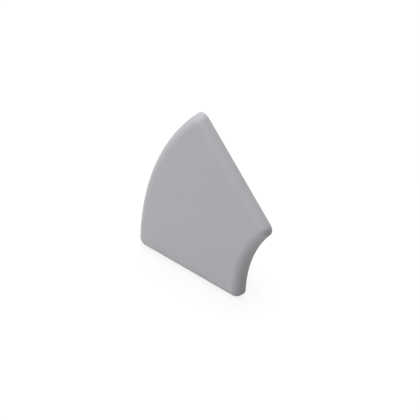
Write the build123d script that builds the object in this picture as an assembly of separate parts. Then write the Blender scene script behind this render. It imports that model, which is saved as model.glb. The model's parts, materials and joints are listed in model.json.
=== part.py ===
from build123d import *
from math import cos, radians, sin
import os

# End cap for a curved aluminium profile, whose section is a 45 degree piece of a ring.
# It is one moulding: a plate with a rounded edge, cored out and ribbed behind, and the
# pegs that plug it into the profile's cut end.
#
# Everything is drawn with the section in the XY plane, the seat plane at z = 0, the face
# towards +Z and the pegs towards -Z. The last step stands the cap upright, so that the
# face points to -Y, the pegs to +Y, and the section's lower straight side lies level.
# The origin is where the core peg's axis meets the seat plane.
# Lengths are in millimetres and angles in degrees.

# Section of the profile
inner_radius = 45.0       # of the concave side
section_width = 45.0      # from the concave side to the convex side
sector_angle = 45.0       # between the two straight sides

# Plate
edge_rounding = 3.0       # radius between the face and the sides
edge_straight = 1.0       # flat band of the sides, next to the profile
face_corner_radius = 0.1  # plan radius of the flat face's corners
face_wall = 2.0           # behind the flat face
rim_wall = 2.2            # width of the rim that seats on the profile

# Ribs behind the plate
rib_width = 1.2
rib_setback = 0.3         # from the seat plane down to the ribs
pocket_corner_radius = 0.4

# Core peg: a split tube for the profile's core bore
core_peg_radius = 5.0
core_peg_wall = 1.7
core_peg_length = 10.0    # beyond the seat plane
core_peg_lead_in = 1.0
core_slot_width = 1.2
core_slot_root = 1.5      # from the seat plane to the bottom of the slots
core_boss_wall = 1.6      # of the boss that carries the peg, beyond the peg's radius

# Cross pegs: two crossing webs each, for the profile's hollow chambers
cross_peg_radius = 3.5    # at the seat plane
cross_peg_draft = 1.0     # taper that lets the peg leave its mould
cross_peg_web = 1.6
cross_peg_fillet = 0.5    # in the corners between the webs
cross_peg_length = 8.0    # beyond the seat plane
cross_peg_lead_in = 0.8
outer_peg_inset = 10.0    # from the convex side to the two outer pegs
outer_peg_angle = 10.0    # from the middle line to each outer peg
inner_peg_inset = 9.0     # from the concave side to the inner peg

# Marks that the mould's ejector pins leave in the corner pockets
ejector_mark_radius = 1.5
ejector_mark_depth = 0.2

# Sizes that follow from the others
outer_radius = inner_radius + section_width
mean_radius = inner_radius + section_width / 2
plate_thickness = edge_straight + edge_rounding
pocket_depth = plate_thickness - face_wall
corner_radius = edge_rounding + face_corner_radius
first_angle = 180.0 - sector_angle
middle_angle = 180.0 - sector_angle / 2

# Centre of the section's arcs: the core peg, at the origin, is on the middle line
arc_centre = -mean_radius * Vector(cos(radians(middle_angle)), sin(radians(middle_angle)))


def polar(radius, angle):
    """Point of the section at a radius and angle about the centre of its arcs."""
    return arc_centre + Vector(radius * cos(radians(angle)), radius * sin(radians(angle)))


def section():
    """Section of the profile: a piece of a ring with rounded corners."""
    concave = CenterArc(arc_centre, inner_radius, first_angle, sector_angle)
    convex = CenterArc(arc_centre, outer_radius, first_angle, sector_angle)
    upper_side = Line(polar(inner_radius, first_angle), polar(outer_radius, first_angle))
    lower_side = Line(polar(inner_radius, 180.0), polar(outer_radius, 180.0))
    outline = make_face([concave, lower_side, convex, upper_side])
    return fillet(outline.vertices(), corner_radius)


def rib_plan():
    """Ribs seen from behind: a boss, an arc through it, and a bar through each cross peg."""
    plan = Circle(core_peg_radius + core_boss_wall)
    band = Circle(mean_radius + rib_width / 2) - Circle(mean_radius - rib_width / 2)
    plan += Pos(arc_centre) * band
    bar = Pos(mean_radius, 0) * Rectangle(section_width, rib_width)
    for from_middle in (-outer_peg_angle, 0.0, outer_peg_angle):
        plan += Pos(arc_centre) * Rot(0, 0, middle_angle + from_middle) * bar
    return plan


def plate():
    """Plate with its rounded edge, cored out between the rim and the ribs."""
    body = extrude(section(), plate_thickness)
    body = fillet(body.faces().sort_by(Axis.Z)[-1].edges(), edge_rounding)
    inside_rim = offset(section(), -rim_wall)
    # Moved in and out again, the pockets keep their sides and get round corners
    pockets = offset(inside_rim - rib_plan(), -pocket_corner_radius)
    pockets = offset(pockets, pocket_corner_radius)
    body -= extrude(inside_rim, rib_setback)
    body -= extrude(pockets, pocket_depth)
    return body


def ejector_marks():
    """Shallow round marks on the floors of the four corner pockets."""
    mark = Pos(0, 0, pocket_depth) * extrude(Circle(ejector_mark_radius), ejector_mark_depth)
    from_middle = (outer_peg_angle + sector_angle / 2) / 2
    marks = []
    for radius in (mean_radius - section_width / 4, mean_radius + section_width / 4):
        for angle in (middle_angle - from_middle, middle_angle + from_middle):
            marks.append(Pos(polar(radius, angle)) * mark)
    return marks


def round_bar(radius, length, lead_in, draft=0.0):
    """Bar from the pockets' floor to a bevelled tip, with its radius given at the seat plane."""
    bar = extrude(Circle(radius), -length, taper=draft)
    bar += extrude(Circle(radius), pocket_depth)
    return chamfer(bar.faces().sort_by(Axis.Z)[0].edges(), lead_in)


def core_peg():
    """Tube that presses into the core bore, with crossed slots that let its wall spring."""
    peg = round_bar(core_peg_radius, core_peg_length, core_peg_lead_in)
    slots = Rectangle(2 * core_peg_radius, core_slot_width)
    slots += Rectangle(core_slot_width, 2 * core_peg_radius)
    slots = Rot(0, 0, middle_angle + 45.0) * slots
    return peg - Pos(0, 0, -core_peg_length) * extrude(slots, core_peg_length - core_slot_root)


def core_bore():
    """Hollow of the core peg, which runs down to the pockets' floor."""
    bore = Circle(core_peg_radius - core_peg_wall)
    return Pos(0, 0, -core_peg_length) * extrude(bore, core_peg_length + pocket_depth)


def cross_peg():
    """Peg of two crossing webs, whose edges lie on a tapered bar."""
    bar = round_bar(cross_peg_radius, cross_peg_length, cross_peg_lead_in, cross_peg_draft)
    webs = Rectangle(2 * cross_peg_radius, cross_peg_web)
    webs += Rectangle(cross_peg_web, 2 * cross_peg_radius)
    inner_corners = webs.vertices().sort_by_distance((0, 0, 0))[:4]
    webs = fillet(inner_corners, cross_peg_fillet)
    return bar & Pos(0, 0, -cross_peg_length) * extrude(webs, cross_peg_length + pocket_depth)


def cross_pegs():
    """Two pegs near the convex side and one near the concave side, each turned to its bar."""
    places = [
        (outer_radius - outer_peg_inset, middle_angle - outer_peg_angle),
        (outer_radius - outer_peg_inset, middle_angle + outer_peg_angle),
        (inner_radius + inner_peg_inset, middle_angle),
    ]
    return [Pos(polar(radius, angle)) * Rot(0, 0, angle) * cross_peg() for radius, angle in places]


def end_cap():
    """The whole moulding, face up."""
    body = plate() - ejector_marks()
    body += core_peg()
    body += cross_pegs()
    return body - core_bore()


os.makedirs("parts", exist_ok=True)
export_step(Plane.XZ * end_cap(), "parts/end_cap.step")
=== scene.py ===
import json
from math import cos, radians, sin

import bmesh
import bpy
from bpy.props import FloatProperty, FloatVectorProperty, PointerProperty
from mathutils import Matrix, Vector


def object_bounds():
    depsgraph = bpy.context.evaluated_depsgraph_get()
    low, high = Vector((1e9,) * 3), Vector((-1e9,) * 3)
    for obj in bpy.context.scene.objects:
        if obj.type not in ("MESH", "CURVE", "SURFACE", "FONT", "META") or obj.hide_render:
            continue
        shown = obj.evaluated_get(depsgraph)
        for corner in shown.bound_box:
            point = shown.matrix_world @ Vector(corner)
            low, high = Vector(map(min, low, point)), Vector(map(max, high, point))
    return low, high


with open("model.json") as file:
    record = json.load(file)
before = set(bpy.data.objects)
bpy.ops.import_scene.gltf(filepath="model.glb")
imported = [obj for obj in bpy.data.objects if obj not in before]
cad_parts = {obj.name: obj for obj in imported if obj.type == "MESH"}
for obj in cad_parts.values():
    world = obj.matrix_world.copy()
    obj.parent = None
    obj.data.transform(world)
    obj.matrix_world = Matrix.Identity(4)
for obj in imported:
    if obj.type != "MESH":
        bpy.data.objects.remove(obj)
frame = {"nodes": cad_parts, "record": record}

bl_info = {
    "name": "Curved Profile End Cap",
    "version": (1, 0, 0),
    "blender": (4, 5, 0),
    "location": "3D View > Sidebar > End Cap",
    "description": "Gives the moulded end cap its finish and sets it on a lit stage",
    "category": "Object",
}

CAD_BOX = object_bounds()
FLOOR_HEIGHT = CAD_BOX[0].z
PLASTIC = frame["record"]["materials"][0]

# Lengths are in metres. The cap's section is a piece of a ring in the XZ plane, and the core
# peg's axis, at the origin, is halfway between its curved sides and its straight ones.
INNER_RADIUS = 0.045
OUTER_RADIUS = 0.09
LOWER_SIDE_ANGLE = radians(180.0)
UPPER_SIDE_ANGLE = radians(135.0)
MIDDLE_ANGLE = (LOWER_SIDE_ANGLE + UPPER_SIDE_ANGLE) / 2

# The core side's mask rises from zero to one between each two of these: inwards from the
# section's outline, and along Y just in front of the deepest floors behind the plate.
CORE_INSET = (0.0005, 0.0007)
CORE_DEPTH = (-0.0026, -0.0023)

WHITE = (1.0, 1.0, 1.0, 1.0)
FLOOR_PAPER = (0.9, 0.9, 0.9, 1.0)      # where the object's shadow shows
FLOOR_BOUNCE = (0.5, 0.5, 0.5, 1.0)     # in the light that the floor throws back
STAND_OFF = 0.6                         # from the origin to the lamps and the camera
SOFT_BOX_WIDTH = 0.35
VIEW_SHIFT = (0.0076, -0.0041)          # to the right and up, as shares of the view's width


# Node trees -----------------------------------------------------------------------------


class Socket:
    """A node's output, on which arithmetic adds Math nodes."""

    def __init__(self, nodes, output):
        self.nodes = nodes
        self.output = output

    def __add__(self, other):
        return self.nodes.math("ADD", self, other)

    def __sub__(self, other):
        return self.nodes.math("SUBTRACT", self, other)

    def __rsub__(self, other):
        return self.nodes.math("SUBTRACT", other, self)

    def __mul__(self, other):
        return self.nodes.math("MULTIPLY", self, other)

    __radd__ = __add__
    __rmul__ = __mul__


class NodeTree:
    """The nodes of one material or world."""

    def __init__(self, owner):
        owner.use_nodes = True
        self.tree = owner.node_tree
        self.tree.nodes.clear()

    def add(self, kind, settings=None, inputs=None, output=0):
        """Adds a node, with values or sockets for its inputs, and returns an output if it has any."""
        node = self.tree.nodes.new(kind)
        for name, value in (settings or {}).items():
            setattr(node, name, value)
        for key, value in (inputs or {}).items():
            if isinstance(value, Socket):
                self.tree.links.new(value.output, node.inputs[key])
            else:
                node.inputs[key].default_value = value
        if len(node.outputs) == 0:
            return None
        return Socket(self, node.outputs[output])

    def math(self, operation, *values):
        return self.add("ShaderNodeMath", {"operation": operation}, dict(enumerate(values)))

    def vector_math(self, operation, *values, output=0):
        settings = {"operation": operation}
        return self.add("ShaderNodeVectorMath", settings, dict(enumerate(values)), output)

    def length(self, vector):
        return self.vector_math("LENGTH", vector, output="Value")

    def along(self, direction, vector):
        """How far a vector reaches in a direction, which is one long."""
        return self.vector_math("DOT_PRODUCT", vector, direction, output="Value")

    def least(self, first, second):
        return self.math("MINIMUM", first, second)

    def rise(self, value, start, end):
        """Zero up to the start, one from the end on, and smooth between them."""
        inputs = {"Value": value, "From Min": start, "From Max": end}
        return self.add("ShaderNodeMapRange", {"interpolation_type": "SMOOTHSTEP"}, inputs)

    def noise(self, place, size, detail, roughness):
        """Noise from zero to one, in spots of about this size."""
        inputs = {"Vector": place, "Scale": 1 / size, "Detail": detail, "Roughness": roughness}
        return self.add("ShaderNodeTexNoise", inputs=inputs)


# Settings -------------------------------------------------------------------------------


class PlasticFinish(bpy.types.PropertyGroup):
    """Finish of the moulding."""

    colour: FloatVectorProperty(
        name="Colour",
        description="Colour of the grey plastic",
        subtype="COLOR",
        min=0.0,
        max=1.0,
        default=PLASTIC["base_color"][:3],
    )
    roughness: FloatProperty(
        name="Roughness",
        description="Roughness of the textured faces",
        subtype="FACTOR",
        min=0.0,
        max=1.0,
        default=0.65,
    )
    core_roughness: FloatProperty(
        name="Core Roughness",
        description="Roughness behind the plate and on the pegs, where the mould is polished",
        subtype="FACTOR",
        min=0.0,
        max=1.0,
        default=0.48,
    )
    specular: FloatProperty(
        name="Specular",
        description="Strength of the gloss, which the fine pits break up",
        subtype="FACTOR",
        min=0.0,
        max=1.0,
        default=0.3,
    )
    grain_size: FloatProperty(
        name="Grain Size",
        description="Width of the fine pits that the mould leaves",
        unit="LENGTH",
        min=0.00005,
        default=0.0003,
    )
    grain_depth: FloatProperty(
        name="Grain Depth",
        description="Depth of the deepest pits",
        unit="LENGTH",
        min=0.0,
        default=0.00006,
    )
    core_grain: FloatProperty(
        name="Core Grain",
        description="Depth of the pits on the core side, as a share of the depth elsewhere",
        subtype="FACTOR",
        min=0.0,
        max=1.0,
        default=0.3,
    )
    speckle: FloatProperty(
        name="Speckle",
        description="How much the brightness varies from pit to pit",
        subtype="FACTOR",
        min=0.0,
        max=1.0,
        default=0.03,
    )
    flow_size: FloatProperty(
        name="Flow Size",
        description="Width of the faint clouds where the plastic flowed",
        unit="LENGTH",
        min=0.001,
        default=0.014,
    )
    flow_shade: FloatProperty(
        name="Flow Shade",
        description="How much the brightness varies between the clouds",
        subtype="FACTOR",
        min=0.0,
        max=1.0,
        default=0.06,
    )
    flow_roughness: FloatProperty(
        name="Flow Roughness",
        description="How much the roughness varies between the clouds",
        subtype="FACTOR",
        min=0.0,
        max=1.0,
        default=0.08,
    )
    edge_radius: FloatProperty(
        name="Edge Radius",
        description="Radius that the light sees on the sharp edges",
        unit="LENGTH",
        min=0.0,
        default=0.00015,
    )


class StageSettings(bpy.types.PropertyGroup):
    """Floor, light and camera."""

    view_azimuth: FloatProperty(
        name="View Azimuth",
        description="Side that the camera looks from, where 0 is the face and 90 is +X",
        subtype="ANGLE",
        default=radians(45.0),
    )
    view_elevation: FloatProperty(
        name="View Elevation",
        description="Angle of the camera above the horizon, which is that of an isometric view",
        subtype="ANGLE",
        default=radians(35.264),
    )
    view_width: FloatProperty(
        name="View Width",
        description="Width of what the camera sees",
        unit="LENGTH",
        default=0.13327,
    )
    ambient: FloatProperty(
        name="Ambient",
        description="Strength of the light from all round",
        min=0.0,
        default=0.31,
    )
    key_power: FloatProperty(
        name="Key Power",
        description="Power of the soft box in front of the face",
        unit="POWER",
        min=0.0,
        default=1.63,
    )
    side_power: FloatProperty(
        name="Side Power",
        description="Power of the soft box at the convex side",
        unit="POWER",
        min=0.0,
        default=0.68,
    )
    back_power: FloatProperty(
        name="Back Power",
        description="Power of the soft box behind the object",
        unit="POWER",
        min=0.0,
        default=1.5,
    )
    top_power: FloatProperty(
        name="Top Power",
        description="Power of the soft box above",
        unit="POWER",
        min=0.0,
        default=3.0,
    )
    floor_size: FloatProperty(
        name="Floor Size",
        description="Width of the floor",
        unit="LENGTH",
        default=4.0,
    )
    shadow: FloatProperty(
        name="Shadow",
        description="How much of the shadow shows on the white floor",
        subtype="FACTOR",
        min=0.0,
        max=1.0,
        default=0.15,
    )
    shadow_reach: FloatProperty(
        name="Shadow Reach",
        description="Distance from the object where its shadow starts to fade out",
        unit="LENGTH",
        min=0.0,
        default=0.16,
    )


# The moulding ---------------------------------------------------------------------------


def core_side(nodes, place):
    """One on the ribs, pockets and pegs, which the mould's core shaped, and zero elsewhere."""
    middle_line = Vector((cos(MIDDLE_ANGLE), 0.0, sin(MIDDLE_ANGLE)))
    centre = -(INNER_RADIUS + OUTER_RADIUS) / 2 * middle_line
    off_upper_side = (-sin(UPPER_SIDE_ANGLE), 0.0, cos(UPPER_SIDE_ANGLE))
    from_centre = nodes.vector_math("SUBTRACT", place, centre)
    radius = nodes.length(nodes.vector_math("MULTIPLY", from_centre, (1.0, 0.0, 1.0)))
    from_curved = nodes.least(OUTER_RADIUS - radius, radius - INNER_RADIUS)
    from_lower = nodes.along((0.0, 0.0, 1.0), from_centre)
    from_upper = nodes.along(off_upper_side, from_centre)
    inset = nodes.least(from_curved, nodes.least(from_lower, from_upper))
    depth = nodes.along((0.0, 1.0, 0.0), place)
    return nodes.rise(inset, *CORE_INSET) * nodes.rise(depth, *CORE_DEPTH)


def moulded_plastic(finish):
    """Matte plastic: pits of a spark-eroded mould, shallower on the core side, and flow clouds."""
    material = bpy.data.materials.new("moulded_plastic")
    nodes = NodeTree(material)
    place = nodes.add("ShaderNodeTexCoord", output="Object")
    clouds = nodes.noise(place, finish.flow_size, detail=6.0, roughness=0.75) - 0.5
    grain = nodes.noise(place, finish.grain_size, detail=2.0, roughness=0.5)
    core = core_side(nodes, place)
    # Both noises average a half, so the mean colour and roughness stay as they are set
    brightness = 1.0 + finish.flow_shade * clouds + finish.speckle * (grain - 0.5)
    colour = nodes.add(
        "ShaderNodeVectorMath",
        {"operation": "SCALE"},
        {0: finish.colour, "Scale": brightness},
    )
    roughness = finish.roughness + finish.flow_roughness * clouds
    soft_edges = nodes.add("ShaderNodeBevel", {"samples": 6}, {"Radius": finish.edge_radius})
    bump = nodes.add(
        "ShaderNodeBump",
        inputs={
            "Strength": 1.0,
            "Distance": finish.grain_depth,
            "Height": grain * (1.0 - (1.0 - finish.core_grain) * core),
            "Normal": soft_edges,
        },
    )
    surface = nodes.add(
        "ShaderNodeBsdfPrincipled",
        inputs={
            "Base Color": colour,
            "Roughness": roughness - (finish.roughness - finish.core_roughness) * core,
            "Specular IOR Level": finish.specular,
            "Normal": bump,
        },
    )
    nodes.add("ShaderNodeOutputMaterial", inputs={"Surface": surface})
    return material


class ENDCAP_OT_finish_moulding(bpy.types.Operator):
    """Give the end cap its moulded plastic"""

    bl_idname = "end_cap.finish_moulding"
    bl_label = "Finish Moulding"

    def execute(self, context):
        moulding = frame["nodes"]["end_cap"]
        moulding.data.materials.clear()
        moulding.data.materials.append(moulded_plastic(context.scene.end_cap_finish))
        return {"FINISHED"}


# The stage ------------------------------------------------------------------------------


def towards(azimuth, elevation):
    """Direction from the object to the side at an azimuth, where 0 is -Y, and an elevation."""
    level = cos(elevation)
    return Vector((sin(azimuth) * level, -cos(azimuth) * level, sin(elevation)))


def in_scene(name, data):
    """Links a new object with this data to the scene."""
    made = bpy.data.objects.new(name, data)
    bpy.context.scene.collection.objects.link(made)
    return made


def aim(made, direction):
    """Places an object out from the origin, turned to look back at it."""
    made.location = STAND_OFF * direction
    made.rotation_euler = direction.to_track_quat("Z", "Y").to_euler()


def seen_directly(nodes):
    """One for what the camera sees, also in a gloss or through glass, and zero for other light."""
    camera = nodes.add("ShaderNodeLightPath", output="Is Camera Ray")
    glossy = nodes.add("ShaderNodeLightPath", output="Is Glossy Ray")
    transmission = nodes.add("ShaderNodeLightPath", output="Is Transmission Ray")
    return camera + glossy + transmission


def pale_floor(stage):
    """White with the object's shadow where it is seen, and a plain grey for other light."""
    material = bpy.data.materials.new("pale_floor")
    nodes = NodeTree(material)
    glow = nodes.add("ShaderNodeEmission", inputs={"Color": WHITE})
    paper = nodes.add("ShaderNodeBsdfDiffuse", inputs={"Color": FLOOR_PAPER})
    distance = nodes.length(nodes.add("ShaderNodeTexCoord", output="Object"))
    near = 1.0 - nodes.rise(distance, stage.shadow_reach, 2.0 * stage.shadow_reach)
    looks = nodes.add("ShaderNodeMixShader", inputs={0: stage.shadow * near, 1: glow, 2: paper})
    bounce = nodes.add("ShaderNodeBsdfDiffuse", inputs={"Color": FLOOR_BOUNCE})
    seen = seen_directly(nodes)
    surface = nodes.add("ShaderNodeMixShader", inputs={0: seen, 1: bounce, 2: looks})
    nodes.add("ShaderNodeOutputMaterial", inputs={"Surface": surface})
    return material


def add_floor(stage):
    """Floor that the object stands on."""
    grid = bmesh.new()
    bmesh.ops.create_grid(grid, x_segments=1, y_segments=1, size=stage.floor_size / 2)
    bmesh.ops.translate(grid, verts=grid.verts, vec=(0.0, 0.0, FLOOR_HEIGHT))
    mesh = bpy.data.meshes.new("floor")
    grid.to_mesh(mesh)
    grid.free()
    mesh.materials.append(pale_floor(stage))
    in_scene("floor", mesh)


def add_world(stage):
    """Even light from all round, white where it is seen."""
    world = bpy.data.worlds.new("white_room")
    nodes = NodeTree(world)
    seen = seen_directly(nodes)
    strength = stage.ambient + (1.0 - stage.ambient) * seen
    light = nodes.add("ShaderNodeBackground", inputs={"Color": WHITE, "Strength": strength})
    nodes.add("ShaderNodeOutputWorld", inputs={"Surface": light})
    bpy.context.scene.world = world


def add_soft_boxes(stage):
    """Round soft boxes that look at the object, each from its azimuth and elevation."""
    for name, power, azimuth, elevation in (
        ("key_box", stage.key_power, -20.0, 10.0),
        ("side_box", stage.side_power, -60.0, 10.0),
        ("back_box", stage.back_power, -160.0, 20.0),
        ("top_box", stage.top_power, 0.0, 90.0),
    ):
        lamp = bpy.data.lights.new(name, "AREA")
        lamp.shape = "DISK"
        lamp.size = SOFT_BOX_WIDTH
        lamp.energy = power
        aim(in_scene(name, lamp), towards(radians(azimuth), radians(elevation)))


def add_camera(stage):
    """Parallel view of the face from above and from its right."""
    view = bpy.data.cameras.new("camera")
    view.type = "ORTHO"
    view.ortho_scale = stage.view_width
    view.shift_x, view.shift_y = VIEW_SHIFT
    camera = in_scene("camera", view)
    aim(camera, towards(stage.view_azimuth, stage.view_elevation))
    bpy.context.scene.camera = camera


class ENDCAP_OT_set_stage(bpy.types.Operator):
    """Set the end cap on a pale floor, with soft light and a camera"""

    bl_idname = "end_cap.set_stage"
    bl_label = "Set Stage"

    def execute(self, context):
        stage = context.scene.end_cap_stage
        context.scene.view_settings.view_transform = "Standard"
        add_floor(stage)
        add_world(stage)
        add_soft_boxes(stage)
        add_camera(stage)
        return {"FINISHED"}


class ENDCAP_PT_panel(bpy.types.Panel):
    """Lists the end cap's steps and their settings"""

    bl_label = "End Cap"
    bl_space_type = "VIEW_3D"
    bl_region_type = "UI"
    bl_category = "End Cap"

    def draw(self, context):
        for settings, step in (
            (context.scene.end_cap_finish, ENDCAP_OT_finish_moulding),
            (context.scene.end_cap_stage, ENDCAP_OT_set_stage),
        ):
            box = self.layout.box()
            for name in settings.__annotations__:
                box.prop(settings, name)
            box.operator(step.bl_idname)


CLASSES = (
    PlasticFinish,
    StageSettings,
    ENDCAP_OT_finish_moulding,
    ENDCAP_OT_set_stage,
    ENDCAP_PT_panel,
)


def register():
    for each in CLASSES:
        bpy.utils.register_class(each)
    bpy.types.Scene.end_cap_finish = PointerProperty(type=PlasticFinish)
    bpy.types.Scene.end_cap_stage = PointerProperty(type=StageSettings)


def unregister():
    del bpy.types.Scene.end_cap_stage
    del bpy.types.Scene.end_cap_finish
    for each in reversed(CLASSES):
        bpy.utils.unregister_class(each)


def main():
    register()
    bpy.ops.end_cap.finish_moulding()
    bpy.ops.end_cap.set_stage()


if __name__ == "__main__":
    main()
